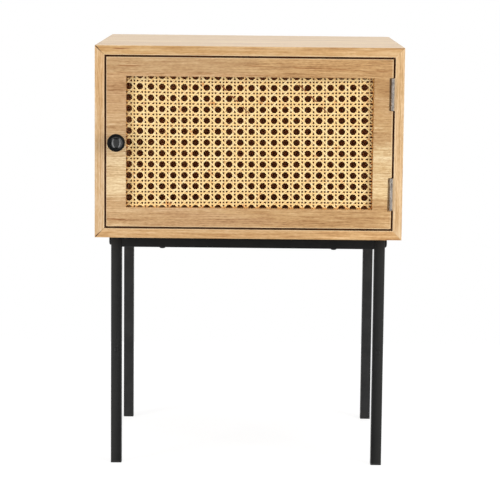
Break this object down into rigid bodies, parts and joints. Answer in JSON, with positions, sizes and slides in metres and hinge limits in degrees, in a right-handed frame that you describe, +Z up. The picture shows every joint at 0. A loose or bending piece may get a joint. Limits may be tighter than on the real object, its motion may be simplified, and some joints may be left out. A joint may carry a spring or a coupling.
{
  "type": "storage side table with door",
  "caption": "Side table: mitred wood cabinet with one inset cane-panelled door on butt hinges, round knob, on a slim black square-tube base.",
  "frame": {"origin": "on the floor, under the middle of the whole table, knob included", "axes": "+Z up; -Y out of the door, so a person facing the door looks along +Y; +X to that person's right, the hinge side"},
  "size_m": [0.45, 0.42, 0.626],
  "materials": {
    "oak_veneer": "matt lacquered oak veneer",
    "oak_bead": "matt lacquered oak",
    "back_board": "matt veneered board",
    "cane": "natural glossy-skinned cane",
    "black_frame": "fine matt black powder coat",
    "black_plastic": "moulded black plastic",
    "black_fastener": "black oxide steel",
    "knob_black": "satin black",
    "hinge_steel": "satin nickel plated",
    "zinc_steel": "bright zinc plated",
    "catch_plastic": "moulded brown plastic",
    "magnet": "plain ferrite"
  },
  "bodies": {
    "table": {"bottom_board": "oak_veneer", "side_board_right": "oak_veneer", "top_board": "oak_veneer", "side_board_left": "oak_veneer", "back_panel": "back_board", "hinge_upper_cabinet_leaf": "hinge_steel", "hinge_lower_cabinet_leaf": "hinge_steel", "hinge_upper_pin": "hinge_steel", "hinge_lower_pin": "hinge_steel", "catch_body": "catch_plastic", "catch_magnet": "magnet", "catch_poles": "zinc_steel", "leg_front_left": "black_frame", "leg_front_right": "black_frame", "leg_back_left": "black_frame", "leg_back_right": "black_frame", "rail_front": "black_frame", "rail_back": "black_frame", "rail_left": "black_frame", "rail_right": "black_frame", "rail_inserts": "zinc_steel", "frame_bolts": "black_fastener", "rail_screws": "black_fastener", "leg_plugs": "black_plastic", "foot_front_left": "black_plastic", "foot_front_right": "black_plastic", "foot_back_left": "black_plastic", "foot_back_right": "black_plastic"},
    "door": {"door_panel": "oak_veneer", "bead_bottom": "oak_bead", "bead_right": "oak_bead", "bead_top": "oak_bead", "bead_left": "oak_bead", "cane_uprights": "cane", "cane_cross_strands": "cane", "cane_slants_rising": "cane", "cane_slants_falling": "cane", "door_knob": "knob_black", "knob_screw": "zinc_steel", "hinge_upper_door_leaf": "hinge_steel", "hinge_lower_door_leaf": "hinge_steel", "strike_plate": "zinc_steel"}
  },
  "joints": [
    {"name": "door_hinge", "type": "hinge", "parent": "table", "child": "door", "pos_m": [0.2083, -0.1913, 0.4855], "axis": [0, 0, 1], "range_deg": [0, 180]}
  ]
}
